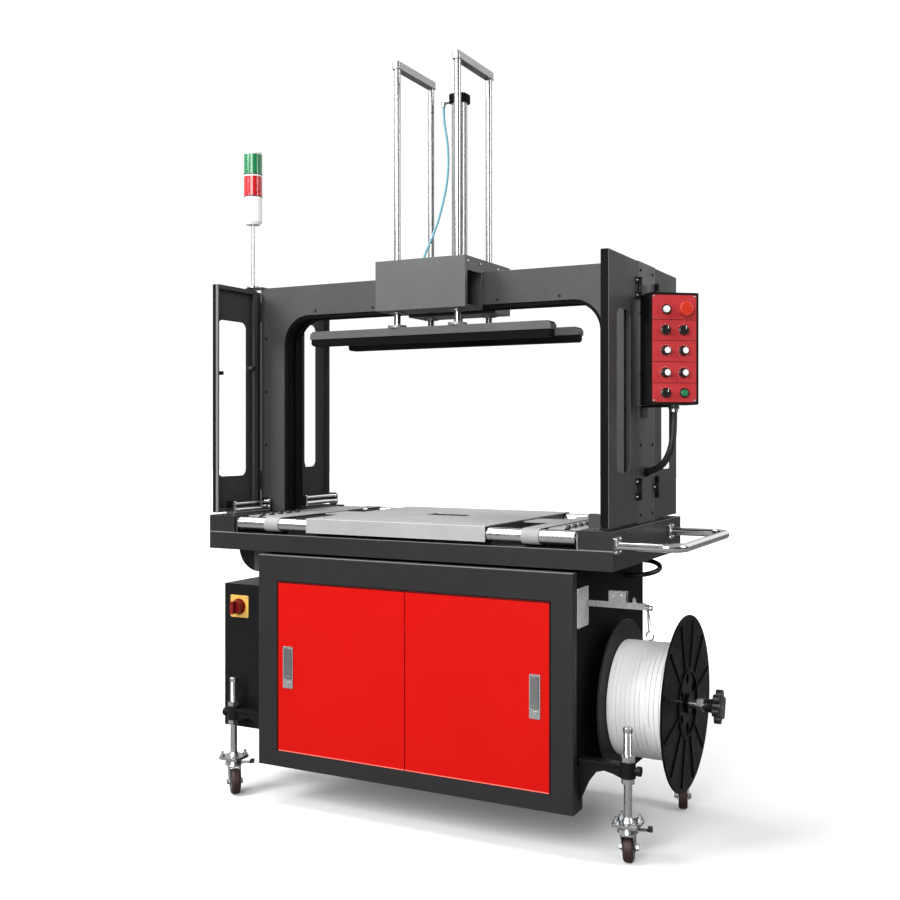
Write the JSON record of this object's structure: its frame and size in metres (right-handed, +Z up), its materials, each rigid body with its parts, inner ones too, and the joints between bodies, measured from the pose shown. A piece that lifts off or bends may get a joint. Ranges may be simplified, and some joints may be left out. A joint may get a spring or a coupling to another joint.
{
  "type": "arch strapping machine",
  "caption": "Arch strapping machine on jacking casters: belt deck, pneumatic press, hinged guards, two-door cabinet, side strap reel, signal tower and control box.",
  "frame": {"origin": "bottom centre of the machine's bounding box, on the floor", "axes": "+X to the reel side, +Y to the rear, away from the doors, +Z up"},
  "size_m": [1.5394, 0.6168, 2.193],
  "materials": {
    "frame_paint": "satin graphite powder coat",
    "black_paint": "satin black powder coat",
    "beam_paint": "satin dark grey powder coat",
    "door_red": "satin red powder coat",
    "stainless": "brushed stainless sheet",
    "steel": "ground steel bar",
    "zinc": "zinc plated steel",
    "chrome": "polished chrome",
    "aluminium": "anodised aluminium",
    "roller_steel": "zinc plated roller tube",
    "belt": "light grey conveyor belting",
    "rubber_black": "black rubber",
    "black_plastic": "matt black moulded plastic",
    "reel_plastic": "black moulded plastic",
    "white_strap": "white polypropylene strap",
    "white_plastic": "white plastic",
    "red_lens": "red moulded lens",
    "green_lens": "green moulded lens",
    "blue_hose": "light blue polyurethane tube",
    "red_plastic": "red moulded plastic",
    "green_plastic": "green moulded plastic",
    "brown_tread": "brown-black rubber tread"
  },
  "bodies": {
    "frame": {"cabinet_frame": "frame_paint", "cabinet_panels": "black_paint", "electrical_box": "black_paint", "table_frame": "beam_paint", "deck_plates": "stainless", "skate_wheels": "black_plastic", "conveyor_belts": "belt", "sealing_head": "steel", "arch_frame": "frame_paint", "arch_track": "black_plastic", "guide_rails": "chrome", "press_housing": "frame_paint", "cylinder_barrel": "aluminium", "cylinder_caps": "black_plastic", "air_hose": "blue_hose", "signal_base": "white_plastic", "signal_red_lens": "red_lens", "signal_green_lens": "green_lens", "control_box": "black_paint", "black_hoses": "rubber_black", "handle_bar": "chrome", "jack_arms": "black_paint", "jack_screws": "zinc", "reel_axle_and_guide": "zinc"},
    "left_door": {"left_door": "door_red"},
    "right_door": {"right_door": "door_red"},
    "left_latch": {"left_latch": "chrome"},
    "right_latch": {"right_latch": "chrome"},
    "main_switch": {"main_switch_knob": "red_plastic"},
    "press": {"guide_rods": "chrome", "press_beams": "beam_paint", "press_pads": "rubber_black"},
    "front_roller": {"front_roller": "roller_steel"},
    "rear_roller": {"rear_roller": "roller_steel"},
    "guard_front_left": {"guard_front_left": "frame_paint"},
    "guard_front_right": {"guard_front_right": "frame_paint"},
    "guard_rear_left": {"guard_rear_left": "frame_paint"},
    "guard_rear_right": {"guard_rear_right": "frame_paint"},
    "reel": {"strap_reel": "reel_plastic", "strap_coil": "white_strap"},
    "reel_knob": {"reel_knob": "black_plastic"},
    "dancer": {"dancer_arm": "chrome"},
    "white_button": {"white_button": "white_plastic"},
    "green_button": {"green_button": "green_plastic"},
    "emergency_stop": {"emergency_stop": "red_plastic"},
    "selector_1": {"selector_1": "black_plastic"},
    "selector_2": {"selector_2": "black_plastic"},
    "selector_3": {"selector_3": "black_plastic"},
    "dial_1": {"dial_1": "black_plastic"},
    "dial_2": {"dial_2": "black_plastic"},
    "dial_3": {"dial_3": "black_plastic"},
    "dial_4": {"dial_4": "black_plastic"},
    "fork_front_left": {"caster_fork_front_left": "zinc"},
    "wheel_front_left": {"caster_wheel_front_left": "brown_tread"},
    "fork_front_right": {"caster_fork_front_right": "zinc"},
    "wheel_front_right": {"caster_wheel_front_right": "brown_tread"},
    "fork_rear_left": {"caster_fork_rear_left": "zinc"},
    "wheel_rear_left": {"caster_wheel_rear_left": "brown_tread"},
    "fork_rear_right": {"caster_fork_rear_right": "zinc"},
    "wheel_rear_right": {"caster_wheel_rear_right": "brown_tread"}
  },
  "joints": [
    {"name": "press_lift", "type": "slide", "parent": "frame", "child": "press", "axis": [0, 0, 1], "range_m": [-0.5, 0]},
    {"name": "left_door_hinge", "type": "hinge", "parent": "frame", "child": "left_door", "pos_m": [-0.46025, -0.29994, 0.41], "axis": [0, 0, -1], "range_deg": [0, 110]},
    {"name": "right_door_hinge", "type": "hinge", "parent": "frame", "child": "right_door", "pos_m": [0.39475, -0.29994, 0.41], "axis": [0, 0, 1], "range_deg": [0, 110]},
    {"name": "left_latch_pivot", "type": "hinge", "parent": "left_door", "child": "left_latch", "pos_m": [-0.42375, -0.30494, 0.464], "axis": [-1, 0, 0], "range_deg": [0, 35], "stiffness_Nm_per_rad": 0.4},
    {"name": "right_latch_pivot", "type": "hinge", "parent": "right_door", "child": "right_latch", "pos_m": [0.35625, -0.30494, 0.461], "axis": [-1, 0, 0], "range_deg": [0, 35], "stiffness_Nm_per_rad": 0.4},
    {"name": "main_switch_turn", "type": "hinge", "parent": "frame", "child": "main_switch", "pos_m": [-0.66325, -0.24194, 0.56], "axis": [0, -1, 0], "range_deg": [0, 90]},
    {"name": "front_roller_spin", "type": "hinge", "parent": "frame", "child": "front_roller", "pos_m": [-0.07325, -0.28194, 0.823], "axis": [1, 0, 0], "continuous": true},
    {"name": "rear_roller_spin", "type": "hinge", "parent": "frame", "child": "rear_roller", "pos_m": [-0.07325, 0.28206, 0.823], "axis": [1, 0, 0], "continuous": true},
    {"name": "guard_front_left_hinge", "type": "hinge", "parent": "frame", "child": "guard_front_left", "pos_m": [-0.71125, -0.06194, 1.2], "axis": [0, 0, -1], "range_deg": [0, 100]},
    {"name": "guard_front_right_hinge", "type": "hinge", "parent": "frame", "child": "guard_front_right", "pos_m": [0.56075, -0.06194, 1.2], "axis": [0, 0, 1], "range_deg": [0, 35]},
    {"name": "guard_rear_left_hinge", "type": "hinge", "parent": "frame", "child": "guard_rear_left", "pos_m": [-0.71125, 0.09506, 1.2], "axis": [0, 0, 1], "range_deg": [0, 100]},
    {"name": "guard_rear_right_hinge", "type": "hinge", "parent": "frame", "child": "guard_rear_right", "pos_m": [0.56075, 0.09506, 1.2], "axis": [0, 0, -1], "range_deg": [0, 100]},
    {"name": "reel_spin", "type": "hinge", "parent": "frame", "child": "reel", "pos_m": [0.58275, -0.00194, 0.364], "axis": [1, 0, 0], "continuous": true},
    {"name": "reel_knob_turn", "type": "hinge", "parent": "frame", "child": "reel_knob", "pos_m": [0.74675, -0.00194, 0.364], "axis": [1, 0, 0], "continuous": true},
    {"name": "dancer_swing", "type": "hinge", "parent": "frame", "child": "dancer", "pos_m": [0.62725, -0.20394, 0.645], "axis": [1, 0, 0], "range_deg": [-35, 35]},
    {"name": "white_button_press", "type": "slide", "parent": "frame", "child": "white_button", "axis": [-0.6157, 0.788, 0], "range_m": [0, 0.0035], "stiffness_N_per_m": 300},
    {"name": "green_button_press", "type": "slide", "parent": "frame", "child": "green_button", "axis": [-0.6157, 0.788, 0], "range_m": [0, 0.0035], "stiffness_N_per_m": 300},
    {"name": "emergency_stop_press", "type": "slide", "parent": "frame", "child": "emergency_stop", "axis": [-0.6157, 0.788, 0], "range_m": [0, 0.0035], "stiffness_N_per_m": 600},
    {"name": "selector_1_turn", "type": "hinge", "parent": "frame", "child": "selector_1", "pos_m": [0.64721, -0.10621, 1.3635], "axis": [0.6157, -0.788, 0], "range_deg": [-45, 45]},
    {"name": "selector_2_turn", "type": "hinge", "parent": "frame", "child": "selector_2", "pos_m": [0.68661, -0.07543, 1.3635], "axis": [0.6157, -0.788, 0], "range_deg": [-45, 45]},
    {"name": "selector_3_turn", "type": "hinge", "parent": "frame", "child": "selector_3", "pos_m": [0.64721, -0.10621, 1.198], "axis": [0.6157, -0.788, 0], "range_deg": [-45, 45]},
    {"name": "dial_1_turn", "type": "hinge", "parent": "frame", "child": "dial_1", "pos_m": [0.64721, -0.10621, 1.3095], "axis": [0.6157, -0.788, 0], "range_deg": [-140, 140]},
    {"name": "dial_2_turn", "type": "hinge", "parent": "frame", "child": "dial_2", "pos_m": [0.68661, -0.07543, 1.3095], "axis": [0.6157, -0.788, 0], "range_deg": [-140, 140]},
    {"name": "dial_3_turn", "type": "hinge", "parent": "frame", "child": "dial_3", "pos_m": [0.64721, -0.10621, 1.251], "axis": [0.6157, -0.788, 0], "range_deg": [-140, 140]},
    {"name": "dial_4_turn", "type": "hinge", "parent": "frame", "child": "dial_4", "pos_m": [0.68661, -0.07543, 1.251], "axis": [0.6157, -0.788, 0], "range_deg": [-140, 140]},
    {"name": "swivel_front_left", "type": "hinge", "parent": "frame", "child": "fork_front_left", "pos_m": [-0.66125, -0.25394, 0.09], "axis": [0, 0, 1], "continuous": true},
    {"name": "wheel_spin_front_left", "type": "hinge", "parent": "fork_front_left", "child": "wheel_front_left", "pos_m": [-0.645, -0.26877, 0.0375], "axis": [0.6743, 0.7385, 0], "continuous": true},
    {"name": "swivel_front_right", "type": "hinge", "parent": "frame", "child": "fork_front_right", "pos_m": [0.59075, -0.25394, 0.09], "axis": [0, 0, 1], "continuous": true},
    {"name": "wheel_spin_front_right", "type": "hinge", "parent": "fork_front_right", "child": "wheel_front_right", "pos_m": [0.58633, -0.23239, 0.0375], "axis": [-0.9796, -0.2011, 0], "continuous": true},
    {"name": "swivel_rear_left", "type": "hinge", "parent": "frame", "child": "fork_rear_left", "pos_m": [-0.66125, 0.25006, 0.09], "axis": [0, 0, 1], "continuous": true},
    {"name": "wheel_spin_rear_left", "type": "hinge", "parent": "fork_rear_left", "child": "wheel_rear_left", "pos_m": [-0.65373, 0.27073, 0.0375], "axis": [-0.9397, 0.342, 0], "continuous": true},
    {"name": "swivel_rear_right", "type": "hinge", "parent": "frame", "child": "fork_rear_right", "pos_m": [0.59075, 0.25006, 0.09], "axis": [0, 0, 1], "continuous": true},
    {"name": "wheel_spin_rear_right", "type": "hinge", "parent": "fork_rear_right", "child": "wheel_rear_right", "pos_m": [0.59681, 0.22891, 0.0375], "axis": [0.9613, 0.2756, 0], "continuous": true}
  ],
  "couplings": [
    {"joint": "rear_roller_spin", "follows": "front_roller_spin", "ratio": 1}
  ]
}
